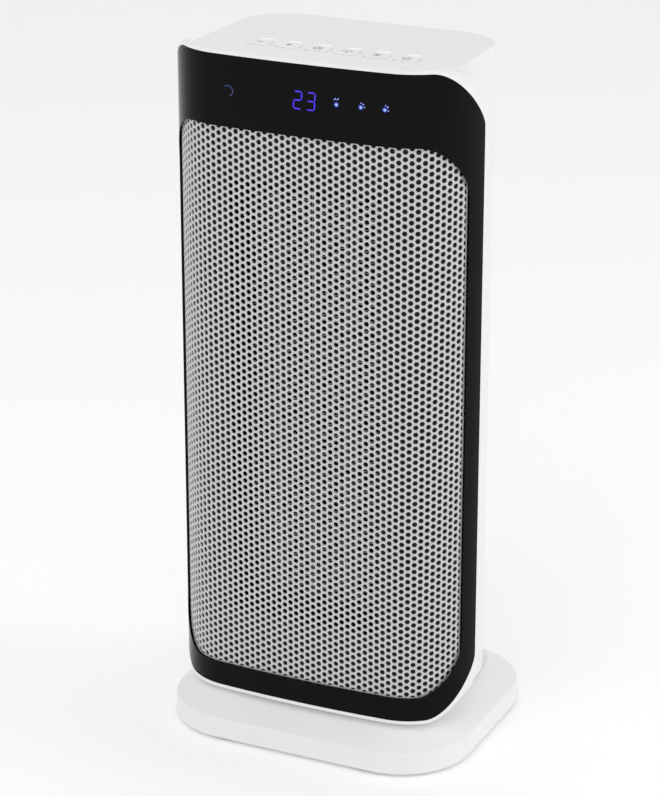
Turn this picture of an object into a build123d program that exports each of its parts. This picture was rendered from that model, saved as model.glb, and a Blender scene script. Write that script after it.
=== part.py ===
from build123d import *
import os
from math import acos, cos, pi, radians, sin, tan

# Oscillating ceramic tower heater. Millimetres, +Z up, front towards -Y.
# The origin is on the floor, on the axis about which the tower swings.

# ---------------------------------------------------------------- driving dimensions
FRONT_Y = -62.5             # foremost line of the curved front
BACK_Y = 45.1               # back of the housing

# the plan curve of the front: a nearly flat middle, then two rounder arcs each side
CURVE_RADII = (740.0, 36.3, 50.0)
CURVE_TURNS = (3.95, 38.5)  # degrees turned where one arc meets the next
FASCIA_TURN = 78.3          # degrees turned at the fascia's side edge
GRILLE_TURN = 65.1          # and at the side of the grille's opening
FASCIA_Z = (28.7, 395.5)
LIP = 2.0                   # white lip outside the fascia, top and bottom
GRILLE_Z = (42.1, 356.7)
FASCIA_CORNER = (18.0, 35.0)    # corner radii along X and Z
GRILLE_CORNER = (19.9, 30.0)
FASCIA_THICK = 1.5
GRILLE_THICK = 0.8
GRILLE_MARGIN = 4.5         # grille sheet hidden behind the fascia
FRONT_STACK = 4.0           # fascia and bezel together
FIT = 0.15                  # gap between moulded parts

BODY_Z = (27.0, 391.0)
TOP_FACE = 394.0
BODY_HALF_FRONT = 77.4
BODY_HALF_REAR = 73.3
BODY_CORNER = 26.3
WALL = 2.4

BASE_WIDTH = 179.4
BASE_DEPTH = 147.6
BASE_CORNER = 42.0
BASE_SKIRT_Z = (2.0, 13.8)
BASE_PLATEAU_Z = 25.0
BASE_SLOPE = 17.0           # how far the sloped rim runs inwards
BOSS_RADIUS = 45.0          # well in the plateau that holds the washer and the gear
BOSS_TOP = 23.4
WASHER_TOP = 24.6
RING = (36.8, 42.3)         # the tower's bearing ring on the washer, inner and outer

FLOOR_Z = (28.4, 31.2)      # the tower's floor plate
SPINDLE_RADIUS = 10.0
HUB_TOP = 37.0
GEAR_TEETH = 28
PINION_TEETH = 14
MODULE = 1.25
GEAR_Z = (23.4, 27.2)
PINION_X = MODULE * (GEAR_TEETH + PINION_TEETH) / 2 + 0.05
SWING_MOTOR_X = 39.6

WHEEL_Y = FRONT_Y + 69.0    # axis of the cross-flow blower
WHEEL_RADIUS = 27.0
WHEEL_Z = (84.0, 328.0)
DUCT_Z = (80.0, 334.0)
DUCT_FRONT, DUCT_REAR = FRONT_Y + 38.0, BACK_Y - 9.1
HEATER_Y = (FRONT_Y + 20.0, FRONT_Y + 35.0)
HEATER_HALF = 46.0
HEATER_Z = (76.0, 330.0)
FIN_PITCH = 3.0
FIN_Z = (HEATER_Z[0] + 8.5, HEATER_Z[1] - 8.5)
BANKS = 4                   # banks of fins side by side
BANK_WIDTH = 15.0
CHANNEL = 5.6               # between banks, for the stones and their electrodes
OUTLET_HALF = 44.6          # duct from the element to the grille
OUTLET_Z = (77.4, 328.6)
OUTLET_WALL = 1.4

KEY_PITCH = 17.1
KEY_ROW_X = 1.5
KEY_Y = FRONT_Y + 38.5
KEY_SIZE = (13.0, 11.0)
KEY_NAMES = ("minus", "plus", "timer", "swing", "mode", "power")

DISPLAY_Z = 376.4           # height of the digits and indicator lights
DIGITS_X = 3.4
INDICATORS_X = (21.6, 35.2, 48.4)
RECEIVER_X = -41.5

INTAKE_HALF = 48.8          # the filter cover at the back
INTAKE_Z = (97.2, 332.8)
HANDLE_Z = (350.0, 376.0)
ROCKER = (40.0, BACK_Y - 3.8, 62.0)
ROCKER_TILT = 8.0
HOUSING_SCREWS = [(-36, 44), (36, 44), (-46, 384), (46, 384)]

BASE_SCREWS = [(-58, -34), (58, -34), (-58, 34), (58, 34)]
FEET = [(-44, -62.5), (44, -62.5), (-44, 62.5), (44, 62.5)]
PLUNGER = (-60, 0)          # the tip switch's plunger
INLET_Z = 7.6               # height of the cord's hole


# ---------------------------------------------------------------- plain solids
def block(x0, x1, y0, y1, z0, z1):
    centre = ((x0 + x1) / 2, (y0 + y1) / 2, (z0 + z1) / 2)
    return Pos(*centre) * Box(x1 - x0, y1 - y0, z1 - z0)


def rod(x, y, radius, z0, z1):
    return Pos(x, y, (z0 + z1) / 2) * Cylinder(radius, z1 - z0)


def tube(x, y, outer, inner, z0, z1):
    return rod(x, y, outer, z0, z1) - rod(x, y, inner, z0 - 1, z1 + 1)


def rod_y(x, z, radius, y0, y1):
    return Pos(x, (y0 + y1) / 2, z) * Rot(90, 0, 0) * Cylinder(radius, y1 - y0)


def raised(sketch, z0, z1):
    return extrude(Pos(0, 0, z0) * sketch, amount=z1 - z0)


def save(name, shape):
    export_step(shape, f"parts/{name}.step")


# ---------------------------------------------------------------- the curved front
def curve_point(turn, inset):
    """Point of the front plan curve, this far behind the front surface."""
    side = -1 if turn < 0 else 1
    turn = abs(turn)
    x, y = 0.0, FRONT_Y + CURVE_RADII[0]
    radius = CURVE_RADII[0]
    for mark, tighter in zip(CURVE_TURNS, CURVE_RADII[1:]):
        if turn > mark:
            x += (radius - tighter) * sin(radians(mark))
            y -= (radius - tighter) * cos(radians(mark))
            radius = tighter
    radius -= inset
    return (side * (x + radius * sin(radians(turn))), y - radius * cos(radians(turn)))


def curved_slab(front, back, turn, low, high):
    """Upright sheet that follows the front curve between two insets."""
    marks = [-turn, -CURVE_TURNS[1], -CURVE_TURNS[0], CURVE_TURNS[0], CURVE_TURNS[1], turn]
    edges = []
    for inset in (front, back):
        for a, b in zip(marks, marks[1:]):
            ends = [curve_point(t, inset) for t in (a, (a + b) / 2, b)]
            edges.append(ThreePointArc(*ends))
    for end in (-turn, turn):
        edges.append(Line(curve_point(end, front), curve_point(end, back)))
    return raised(make_face(Curve() + edges), low, high)


def front_block(turn, heights, corner, grow=0.0):
    """Block along Y whose front view is a rectangle with rounded corners."""
    half = curve_point(turn, 0)[0] + grow
    low, high = heights[0] - grow, heights[1] + grow
    rx, rz = corner[0] + grow, corner[1] + grow
    x, z0, z1 = half - rx, low + rz, high - rz
    edges = [
        Line((-x, low), (x, low)),
        EllipticalCenterArc((x, z0), rx, rz, 270, arc_size=90),
        Line((half, z0), (half, z1)),
        EllipticalCenterArc((x, z1), rx, rz, 0, arc_size=90),
        Line((x, high), (-x, high)),
        EllipticalCenterArc((-x, z1), rx, rz, 90, arc_size=90),
        Line((-half, z1), (-half, z0)),
        EllipticalCenterArc((-x, z0), rx, rz, 180, arc_size=90),
    ]
    outline = Plane.XZ * make_face(Curve() + edges)
    return extrude(Pos(0, FRONT_Y + 60, 0) * outline, amount=80)


def front_piece(front, back, turn, heights, corner, grow=0.0):
    """Curved sheet cut to a rounded outline; grow widens it all round."""
    extra = grow / CURVE_RADII[2] * 180 / pi
    slab = curved_slab(front, back, turn + extra, heights[0] - grow, heights[1] + grow)
    return slab & front_block(turn, heights, corner, grow)


def make_fascia():
    sheet = front_piece(0, FASCIA_THICK, FASCIA_TURN, FASCIA_Z, FASCIA_CORNER)
    sheet -= front_piece(-3, 5, GRILLE_TURN, GRILLE_Z, GRILLE_CORNER)
    sheet -= rod_y(RECEIVER_X, DISPLAY_Z, 2.6, FRONT_Y - 5, FRONT_Y + 10)
    return sheet


def make_bezel():
    shell = front_piece(0, FRONT_STACK, FASCIA_TURN, FASCIA_Z, FASCIA_CORNER, LIP)
    shell -= front_piece(-3, FASCIA_THICK + 0.05, FASCIA_TURN, FASCIA_Z, FASCIA_CORNER, FIT)
    shell -= front_piece(-3, FASCIA_THICK + GRILLE_THICK + 0.2, GRILLE_TURN, GRILLE_Z,
                         GRILLE_CORNER, GRILLE_MARGIN + 0.4)
    shell -= front_piece(-3, 9, GRILLE_TURN, GRILLE_Z, GRILLE_CORNER)
    shell -= block(DIGITS_X - 8, DIGITS_X + 8, FRONT_Y - 5, FRONT_Y + 10,
                   DISPLAY_Z - 7, DISPLAY_Z + 7)
    for x in INDICATORS_X:
        shell -= rod_y(x, DISPLAY_Z, 2.0, FRONT_Y - 5, FRONT_Y + 10)
    shell -= rod_y(RECEIVER_X, DISPLAY_Z, 4.2, FRONT_Y - 5, FRONT_Y + 10)
    return shell


def make_grille():
    return front_piece(FASCIA_THICK + 0.1, FASCIA_THICK + 0.1 + GRILLE_THICK, GRILLE_TURN,
                       GRILLE_Z, GRILLE_CORNER, GRILLE_MARGIN)


def make_receiver_lens():
    flange = rod_y(RECEIVER_X, DISPLAY_Z, 3.9, FRONT_Y + 2.9, FRONT_Y + 4.4)
    dome = rod_y(RECEIVER_X, DISPLAY_Z, 2.5, FRONT_Y + 0.9, FRONT_Y + 2.9)
    return flange + dome


# ---------------------------------------------------------------- the body
def body_outline(inset):
    front, rear = FRONT_Y + 5.0, BACK_Y
    corners = [(-BODY_HALF_FRONT, front), (BODY_HALF_FRONT, front),
               (BODY_HALF_REAR, rear), (-BODY_HALF_REAR, rear)]
    plain = make_face(Curve() + Polyline(*corners, close=True))
    outline = fillet(plain.vertices(), BODY_CORNER)
    return outline if inset == 0 else offset(outline, amount=-inset)


def ahead_of_body(gap):
    """Everything in front of the bezel's back face, with a gap behind it."""
    return curved_slab(-25, FRONT_STACK + gap, 75, 0, 420)


def make_housing():
    shell = raised(body_outline(0), *BODY_Z)
    shell -= raised(body_outline(WALL), BODY_Z[0] - 1, BODY_Z[1] + 1)
    shell += block(-54, 54, BACK_Y - 7, BACK_Y - 1, 91, 339) & raised(body_outline(0), 90, 340)
    shell -= block(-62, 62, FRONT_Y, FRONT_Y + 30, BODY_Z[0] - 1, BODY_Z[1] + 1)
    shell -= ahead_of_body(FIT)
    shell -= block(-INTAKE_HALF - 0.2, INTAKE_HALF + 0.2, BACK_Y - 3, BACK_Y + 5,
                   INTAKE_Z[0] - 0.2, INTAKE_Z[1] + 0.2)
    shell -= block(-43, 43, BACK_Y - 20, BACK_Y + 5, INTAKE_Z[0] + 6, INTAKE_Z[1] - 6)
    shell -= block(-42, 42, BACK_Y - 10, BACK_Y + 5, *HANDLE_Z)
    shell -= block(ROCKER[0] - 9.2, ROCKER[0] + 9.2, BACK_Y - 10, BACK_Y + 5,
                   ROCKER[2] - 6.7, ROCKER[2] + 6.7)
    for x, z in HOUSING_SCREWS:
        shell -= rod_y(x, z, 1.7, BACK_Y - 12, BACK_Y + 5)
        shell -= rod_y(x, z, 3.3, BACK_Y - 1.2, BACK_Y + 5)
    return shell


def housing_screws():
    group = []
    for x, z in HOUSING_SCREWS:
        head = rod_y(x, z, 3.0, BACK_Y - 1.2, BACK_Y - 0.1)
        head -= block(x - 2, x + 2, BACK_Y - 0.7, BACK_Y + 1, z - 0.4, z + 0.4)
        head -= block(x - 0.4, x + 0.4, BACK_Y - 0.7, BACK_Y + 1, z - 2, z + 2)
        group.append(head + rod_y(x, z, 1.5, BACK_Y - 10, BACK_Y - 1.2))
    return group


def key_x(index):
    return KEY_ROW_X + (index - (len(KEY_NAMES) - 1) / 2) * KEY_PITCH


def key_sketch(index, grow):
    width, depth = KEY_SIZE
    return Pos(key_x(index), KEY_Y) * RectangleRounded(width + grow, depth + grow, 3 + grow / 2)


def make_top_cover():
    plate = raised(body_outline(0), BODY_Z[1], TOP_FACE)
    plate = fillet(plate.faces().sort_by(Axis.Z)[-1].edges(), 1.1)
    plate += raised(body_outline(WALL + 0.2), BODY_Z[1] - 4, BODY_Z[1]) \
        - raised(body_outline(WALL + 2.2), BODY_Z[1] - 5, BODY_Z[1])
    plate -= block(-62, 62, FRONT_Y, FRONT_Y + 30, BODY_Z[1] - 6, BODY_Z[1])
    plate -= ahead_of_body(FIT)
    for index in range(len(KEY_NAMES)):
        plate -= raised(key_sketch(index, 0.6), BODY_Z[1] - 1, TOP_FACE + 1)
        plate -= raised(Pos(key_x(index), KEY_Y + 9.0) * SlotOverall(8.0, 1.4),
                        BODY_Z[1] - 1, TOP_FACE + 1)
    return plate


def make_key(index):
    cap = raised(key_sketch(index, 0), BODY_Z[1] - 0.6, TOP_FACE + 0.5)
    cap = fillet(cap.faces().sort_by(Axis.Z)[-1].edges(), 0.5)
    flange = raised(key_sketch(index, 2.4), BODY_Z[1] - 1.6, BODY_Z[1] - 0.6)
    stem = rod(key_x(index), KEY_Y, 1.8, 388.4, BODY_Z[1] - 1.6)
    return cap + flange + stem


def make_key_lights():
    lights = []
    for index in range(len(KEY_NAMES)):
        slot = Pos(key_x(index), KEY_Y + 9.0) * SlotOverall(7.9, 1.3)
        lights.append(raised(slot, 388.0, TOP_FACE - 0.05))
    return Compound(children=lights)


def make_control_board():
    board = block(-56, 59, FRONT_Y + 24, FRONT_Y + 58, 380.6, 382.2)
    for x in (-48, 52):
        board -= rod(x, FRONT_Y + 54, 1.6, 380, 383)
    return board


def make_tact_switches():
    group = []
    for index in range(len(KEY_NAMES)):
        x = key_x(index)
        body = block(x - 3, x + 3, KEY_Y - 3, KEY_Y + 3, 382.2, 385.8)
        group.append(body + rod(x, KEY_Y, 1.7, 385.8, 387.2))
    return Compound(children=group)


def make_display_board():
    board = block(-50, 56, FRONT_Y + 11.0, FRONT_Y + 12.6, 362, 386)
    for x in (-46, 52):
        board -= rod_y(x, 366, 1.5, FRONT_Y + 9, FRONT_Y + 15)
    return board


def make_digit_display():
    return block(DIGITS_X - 7.5, DIGITS_X + 7.5, FRONT_Y + 4.6, FRONT_Y + 11,
                 DISPLAY_Z - 6.5, DISPLAY_Z + 6.5)


def make_indicators():
    lamps = []
    for x in INDICATORS_X:
        lamps.append(rod_y(x, DISPLAY_Z, 1.5, FRONT_Y + 4.4, FRONT_Y + 11))
    return Compound(children=lamps)


def make_receiver():
    return block(RECEIVER_X - 3, RECEIVER_X + 3, FRONT_Y + 5.8, FRONT_Y + 11,
                 DISPLAY_Z - 4, DISPLAY_Z + 4)


def make_filter_cover():
    middle = (INTAKE_Z[0] + INTAKE_Z[1]) / 2
    height = INTAKE_Z[1] - INTAKE_Z[0]
    outline = RectangleRounded(2 * INTAKE_HALF, height, 4)
    outline -= GridLocations(41, 7.8, 2, 27) * SlotOverall(35, 4.2)
    cover = extrude(Pos(0, BACK_Y - 0.1, middle) * (Plane.XZ * outline), amount=2.4)
    for z in (INTAKE_Z[0] + 8.2, INTAKE_Z[1] - 10.2):
        cover += block(-42, 42, BACK_Y - 6, BACK_Y - 2.5, z, z + 2)
    return cover


def make_dust_filter():
    return block(-42, 42, BACK_Y - 5.4, BACK_Y - 2.5, INTAKE_Z[0] + 10.4, INTAKE_Z[1] - 10.4)


def make_handle_cup():
    low, high = HANDLE_Z
    cup = block(-44, 44, BACK_Y - 24, BACK_Y - WALL, low - 2, high + 2)
    return cup - block(-42, 42, BACK_Y - 22, BACK_Y + 1, low, high)


def make_switch_case():
    x, y, z = ROCKER
    case = block(x - 9, x + 9, y - 11, BACK_Y, z - 6.5, z + 6.5)
    case += block(x - 10.5, x + 10.5, BACK_Y, BACK_Y + 1, z - 8, z + 8)
    case -= block(x - 7, x + 7, y - 5.5, BACK_Y + 5, z - 5.5, z + 5.5)
    case -= Pos(x, y, z) * Rot(0, 90, 0) * Cylinder(0.95, 16.4)
    return case


def make_rocker():
    x, y, z = ROCKER
    profile = Polyline((-2.4, -2.6), (-2.4, 2.6), (3.6, 4.5), (4.7, 4.5), (4.2, 0),
                       (4.7, -4.5), (3.6, -4.5), close=True)
    key = extrude(make_face(Curve() + profile), amount=6.8, both=True)
    # stand the profile up: its first axis becomes Y, its second Z, its depth X
    key = Plane(origin=(0, 0, 0), x_dir=(0, 1, 0), z_dir=(1, 0, 0)) * key
    key += Rot(0, 90, 0) * Cylinder(0.9, 16.0)
    return Pos(x, y, z) * Rot(-ROCKER_TILT, 0, 0) * key


# ---------------------------------------------------------------- tower floor and swing
def make_tower_floor():
    plate = raised(body_outline(WALL + 0.3), *FLOOR_Z)
    plate -= ahead_of_body(0.3)
    plate += tube(0, 0, RING[1], RING[0], WASHER_TOP + 0.1, FLOOR_Z[0])
    plate += rod(0, 0, 15, FLOOR_Z[0], HUB_TOP)
    plate -= rod(0, 0, SPINDLE_RADIUS + 0.05, 20, HUB_TOP + 1)
    plate -= rod(PINION_X, 0, 4, 20, 40)
    return plate


def gear_outline(teeth, phase):
    """Involute spur gear with short teeth and a little backlash."""
    pitch = MODULE * teeth / 2
    base = pitch * cos(radians(20))
    tip = pitch + 0.8 * MODULE
    root = pitch - 1.1 * MODULE
    half = pi / (2 * teeth) * 0.93

    def roll(radius):
        angle = acos(min(1.0, base / radius))
        return tan(angle) - angle

    start = max(base, root)
    flank = [start + (tip - start) * step / 4 for step in range(5)]
    points = []
    for tooth in range(teeth):
        centre = phase + 2 * pi * tooth / teeth
        rising = [(r, centre - half - roll(pitch) + roll(r)) for r in flank]
        falling = [(r, centre + half + roll(pitch) - roll(r)) for r in reversed(flank)]
        points.append((root, rising[0][1]))
        points += rising + falling
        points.append((root, falling[-1][1]))
    outline = [(r * cos(a), r * sin(a)) for r, a in points]
    return make_face(Curve() + Polyline(*outline, close=True))


def make_swing_gear():
    return raised(gear_outline(GEAR_TEETH, 0), *GEAR_Z) \
        - rod(0, 0, SPINDLE_RADIUS + 0.02, 20, 30)


def make_swing_pinion():
    toothed = raised(gear_outline(PINION_TEETH, pi / PINION_TEETH), 23.8, GEAR_Z[1])
    return Pos(PINION_X, 0, 0) * toothed + rod(PINION_X, 0, 2.5, 24, 37)


def make_swing_motor():
    can = rod(SWING_MOTOR_X, 0, 24, FLOOR_Z[1], 46)
    for y in (-1, 1):
        can += block(SWING_MOTOR_X - 4, SWING_MOTOR_X + 4, min(y * 22, y * 31),
                     max(y * 22, y * 31), FLOOR_Z[1], FLOOR_Z[1] + 1.2)
        can -= rod(SWING_MOTOR_X, y * 27.5, 1.6, 30, 40)
    return can - rod(PINION_X, 0, 2.56, 30, 40)


def make_tower_screws():
    group = housing_screws()
    for y in (-27.5, 27.5):
        low, seat = FLOOR_Z[1], FLOOR_Z[1] + 1.2
        group.append(rod(SWING_MOTOR_X, y, 1.5, low, seat)
                     + rod(SWING_MOTOR_X, y, 2.8, seat, seat + 1.8))
    return Compound(children=group)


def make_retaining_ring():
    ring = tube(0, 0, 14, SPINDLE_RADIUS - 1.0, HUB_TOP + 0.15, HUB_TOP + 1.35)
    return ring - block(-2, 2, 0, 20, HUB_TOP, HUB_TOP + 2)


def make_spindle():
    barrel = rod(0, 0, SPINDLE_RADIUS, 17.0, 43)
    barrel -= tube(0, 0, 12, SPINDLE_RADIUS - 1.0, HUB_TOP + 0.15, HUB_TOP + 1.35)
    return barrel + rod(0, 0, 16, 17.0, 19.4) - rod(0, 0, 7, 10, 50)


# ---------------------------------------------------------------- base
def base_sketch(inset):
    return RectangleRounded(BASE_WIDTH - 2 * inset, BASE_DEPTH - 2 * inset, BASE_CORNER - inset)


def base_dome(inset, drop):
    """The base's outer shape, moved inwards and down by a wall."""
    low, crease = BASE_SKIRT_Z[0] - (1 if inset else 0), BASE_SKIRT_Z[1] - drop
    top = BASE_PLATEAU_Z - drop
    dome = loft([Pos(0, 0, crease) * base_sketch(inset),
                 Pos(0, 0, top) * base_sketch(BASE_SLOPE + inset / 2)])
    return dome + raised(base_sketch(inset), low, crease)


def make_base_cover():
    outer = base_dome(0, 0)
    crease = [e for e in outer.edges() if abs(e.center().Z - BASE_SKIRT_Z[1]) < 0.01]
    outer = fillet(crease, 1.6)
    cover = outer - base_dome(WALL, WALL)
    cover += rod(0, 0, BOSS_RADIUS + WALL, BOSS_TOP - WALL, BASE_PLATEAU_Z - 1)
    cover -= rod(0, 0, BOSS_RADIUS, BOSS_TOP, BASE_PLATEAU_Z + 1)
    for x, y in BASE_SCREWS:
        cover += rod(x, y, 4.5, 4.2, BASE_PLATEAU_Z - WALL + 0.5)
        cover -= rod(x, y, 1.3, 3, 15)
    cover -= rod(0, 0, SPINDLE_RADIUS + 0.02, 10, 30)
    cover -= rod_y(0, INLET_Z, 3.65, BASE_DEPTH / 2 - 10, BASE_DEPTH / 2 + 5)
    return cover


def make_base_plate():
    plate = raised(base_sketch(WALL + 0.2), BASE_SKIRT_Z[0] + 0.1, 4.0)
    for x, y in BASE_SCREWS:
        plate -= rod(x, y, 1.7, 0, 6)
        plate -= rod(x, y, 3.4, 0, 3.1)
    return plate - rod(*PLUNGER, 3.1, 0, 6)


def make_base_screws():
    group = []
    for x, y in BASE_SCREWS:
        group.append(rod(x, y, 3.1, 2.2, 3.1) + rod(x, y, 1.25, 3.1, 12))
    return Compound(children=group)


def make_feet():
    feet = []
    for x, y in FEET:
        foot = rod(x, y, 8, 0, BASE_SKIRT_Z[0] + 0.1)
        feet.append(fillet(foot.faces().sort_by(Axis.Z)[0].edges(), 0.6))
    return Compound(children=feet)


def make_plunger():
    x, y = PLUNGER
    foot = rod(x, y, 3.0, 0.4, 7.6)
    return foot + rod(x, y, 5.0, 7.6, 8.6) + rod(x, y, 1.8, 8.6, 13.6)


def make_tip_spring():
    x, y = PLUNGER
    path = Helix(pitch=1.5, height=4.5, radius=2.8)
    start = Plane(origin=path @ 0, z_dir=path % 0)
    coil = sweep(start * Circle(0.3), path=path, is_frenet=True)
    return Pos(x, y, 9.1) * coil


def make_tip_switch():
    x, y = PLUNGER
    case = block(x - 3.2, x + 3.2, y - 10, y + 10, 14.0, 18.6)
    return case


def make_cord_grommet():
    edge = BASE_DEPTH / 2
    sleeve = rod_y(0, INLET_Z, 3.55, edge - WALL - 1.5, edge)
    return sleeve - rod_y(0, INLET_Z, 2.9, edge - 15, edge + 10)


# ---------------------------------------------------------------- heater and blower
def make_heater_frame():
    y0, y1 = HEATER_Y
    z0, z1 = HEATER_Z
    frame = block(-HEATER_HALF, HEATER_HALF, y0, y1, z0, z1)
    frame -= block(-41, 41, y0 - 1, y1 + 1, z0 + 8, z1 - 8)
    for z in (z0 + 8 + 78, z0 + 8 + 158):
        frame += block(-41, 41, y0, y0 + 1.2, z, z + 2)
    return frame


def bank_x(index):
    return (index - (BANKS - 1) / 2) * (BANK_WIDTH + CHANNEL)


def make_outlet_duct():
    """Mask that lines the grille's opening, and a square duct back to the element."""
    face = FASCIA_THICK + GRILLE_THICK + 0.25
    mask = front_piece(face, FRONT_STACK, GRILLE_TURN, GRILLE_Z, GRILLE_CORNER, -FIT)
    half, (low, high) = OUTLET_HALF, OUTLET_Z
    duct = block(-half - OUTLET_WALL, half + OUTLET_WALL, FRONT_Y, HEATER_Y[0] - 0.1,
                 low - OUTLET_WALL, high + OUTLET_WALL)
    duct -= curved_slab(-25, face, 75, 0, 420)
    return mask + duct - block(-half, half, FRONT_Y - 1, HEATER_Y[0] + 1, low, high)


def make_heater_fins():
    """Each bank is a comb: a thin spine with fins every few millimetres."""
    y0, y1 = HEATER_Y[0] + 1.6, HEATER_Y[1] - 1.0
    count = int((FIN_Z[1] - FIN_Z[0]) / FIN_PITCH)
    top = FIN_Z[0] + count * FIN_PITCH
    points = [(y1, FIN_Z[0]), (y1, top), (y1 - 0.8, top)]
    for step in reversed(range(count)):
        z = FIN_Z[0] + step * FIN_PITCH
        points += [(y1 - 0.8, z + 0.5), (y0, z + 0.5), (y0, z), (y1 - 0.8, z)]
    points.pop()
    comb = make_face(Curve() + Polyline(*points, close=True))
    banks = []
    for index in range(BANKS):
        plane = Plane(origin=(bank_x(index) - BANK_WIDTH / 2, 0, 0), x_dir=(0, 1, 0),
                      z_dir=(1, 0, 0))
        banks.append(extrude(plane * comb, amount=BANK_WIDTH))
    return Compound(children=banks)


def make_ptc_stones():
    stones = []
    for gap in range(BANKS - 1):
        x = (bank_x(gap) + bank_x(gap + 1)) / 2
        for step in range(9):
            z = FIN_Z[0] + 2 + step * 26
            stones.append(block(x - 2.2, x + 2.2, HEATER_Y[0] + 1.8, HEATER_Y[1] - 1.2, z, z + 24))
    return Compound(children=stones)


def make_electrodes():
    strips = []
    for gap in range(BANKS - 1):
        x = (bank_x(gap) + bank_x(gap + 1)) / 2
        for side in (-1, 1):
            edge = sorted((x + side * 2.2, x + side * 2.7))
            strips.append(block(*edge, HEATER_Y[0] + 1.8, HEATER_Y[1] - 1.2, *FIN_Z))
    return Compound(children=strips)


def make_terminals():
    tabs = []
    for x in (-24, -8, 8, 24):
        tabs.append(block(x - 3.1, x + 3.1, HEATER_Y[0] + 6, HEATER_Y[0] + 6.8, 62, HEATER_Z[0]))
    return Compound(children=tabs)


def make_heater_brackets():
    plates = []
    for side in (-1, 1):
        edge = sorted((side * HEATER_HALF, side * 62))
        plates.append(block(*edge, FRONT_Y + 27, FRONT_Y + 28.4, 92, 314))
    return Compound(children=plates)


def make_thermal_cutout():
    y = (HEATER_Y[0] + HEATER_Y[1]) / 2
    disc = rod(0, y, 7, HEATER_Z[1], HEATER_Z[1] + 3) + rod(0, y, 8.5, HEATER_Z[1] + 3, 339)
    for x in (-5, 5):
        disc += block(x - 2.4, x + 2.4, y - 0.4, y + 0.4, 339, 346)
    return disc


def make_thermal_fuse():
    y = (HEATER_Y[0] + HEATER_Y[1]) / 2
    return Pos(28, y, HEATER_Z[1] + 2.0) * Rot(0, 90, 0) * Cylinder(2.0, 14)


def make_duct_base():
    plate = block(-61, 61, DUCT_FRONT, DUCT_REAR, DUCT_Z[0] - 2, DUCT_Z[0])
    for x in (-57, 57):
        for y in (DUCT_FRONT + 2, DUCT_REAR - 8):
            plate += rod(x, y, 3.5, FLOOR_Z[1], DUCT_Z[0] - 1)
    return plate - rod(0, WHEEL_Y, 6.2, 60, 90)


def make_duct_top():
    plate = block(-61, 61, DUCT_FRONT, DUCT_REAR, DUCT_Z[1], DUCT_Z[1] + 2)
    plate += rod(0, WHEEL_Y, 9, DUCT_Z[1], DUCT_Z[1] + 7)
    return plate - rod(0, WHEEL_Y, 6.0, 330, 350)


def make_scroll():
    """Side wall that winds from the intake round the wheel to the heater."""
    near = [(-46, DUCT_FRONT), (-38, DUCT_FRONT + 9)]
    arc = [(-31 * cos(radians(a)), WHEEL_Y + 31 * sin(radians(a))) for a in (-20, 12, 44)]
    far = (-44, DUCT_REAR)
    wall = Curve() + [Line(near[0], near[1]), Line(near[1], arc[0]),
                      ThreePointArc(*arc), Line(arc[2], far)]
    return raised(trace(wall, 1.6), *DUCT_Z)


def make_tongue():
    points = [(46, DUCT_FRONT), (33, WHEEL_Y - 16), (29.5, WHEEL_Y - 8), (44, DUCT_REAR)]
    return raised(trace(Polyline(*points), 1.6), *DUCT_Z)


def make_wheel():
    z0, z1 = WHEEL_Z
    blade = Polyline((20.2, 0), (20.9, -0.4), (26.2, 3.8), (25.8, 4.5), close=True)
    blades = Sketch() + PolarLocations(0, 26) * make_face(Curve() + blade)
    wheel = rod(0, 0, WHEEL_RADIUS, z0, z0 + 2) + rod(0, 0, WHEEL_RADIUS, z1 - 2, z1)
    for step in range(1, 5):
        z = z0 + step * (z1 - z0) / 5
        wheel += tube(0, 0, WHEEL_RADIUS, 19.6, z - 0.6, z + 0.6)
    wheel += raised(blades, z0 + 1, z1 - 1)
    wheel -= rod(0, 0, 2.5, z0 - 1, z1 + 1)
    return Pos(0, WHEEL_Y, 0) * wheel


def make_shaft():
    return rod(0, WHEEL_Y, 2.5, 46.5, 342.5)


def make_bearings():
    spans = ((70, 79), (336, 341))
    return Compound(children=[tube(0, WHEEL_Y, 6.0, 2.55, *span) for span in spans])


def make_motor_bracket():
    plate = rod(0, WHEEL_Y, 29, 76.2, 78) - rod(0, WHEEL_Y, 6.1, 70, 80)
    for angle in (90, 210, 330):
        x, y = 23.5 * cos(radians(angle)), WHEEL_Y + 23.5 * sin(radians(angle))
        plate += rod(x, y, 2.4, 64, 77)
    return plate


def make_rotor():
    return tube(0, WHEEL_Y, 12.4, 2.5, 48, 66)


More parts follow.
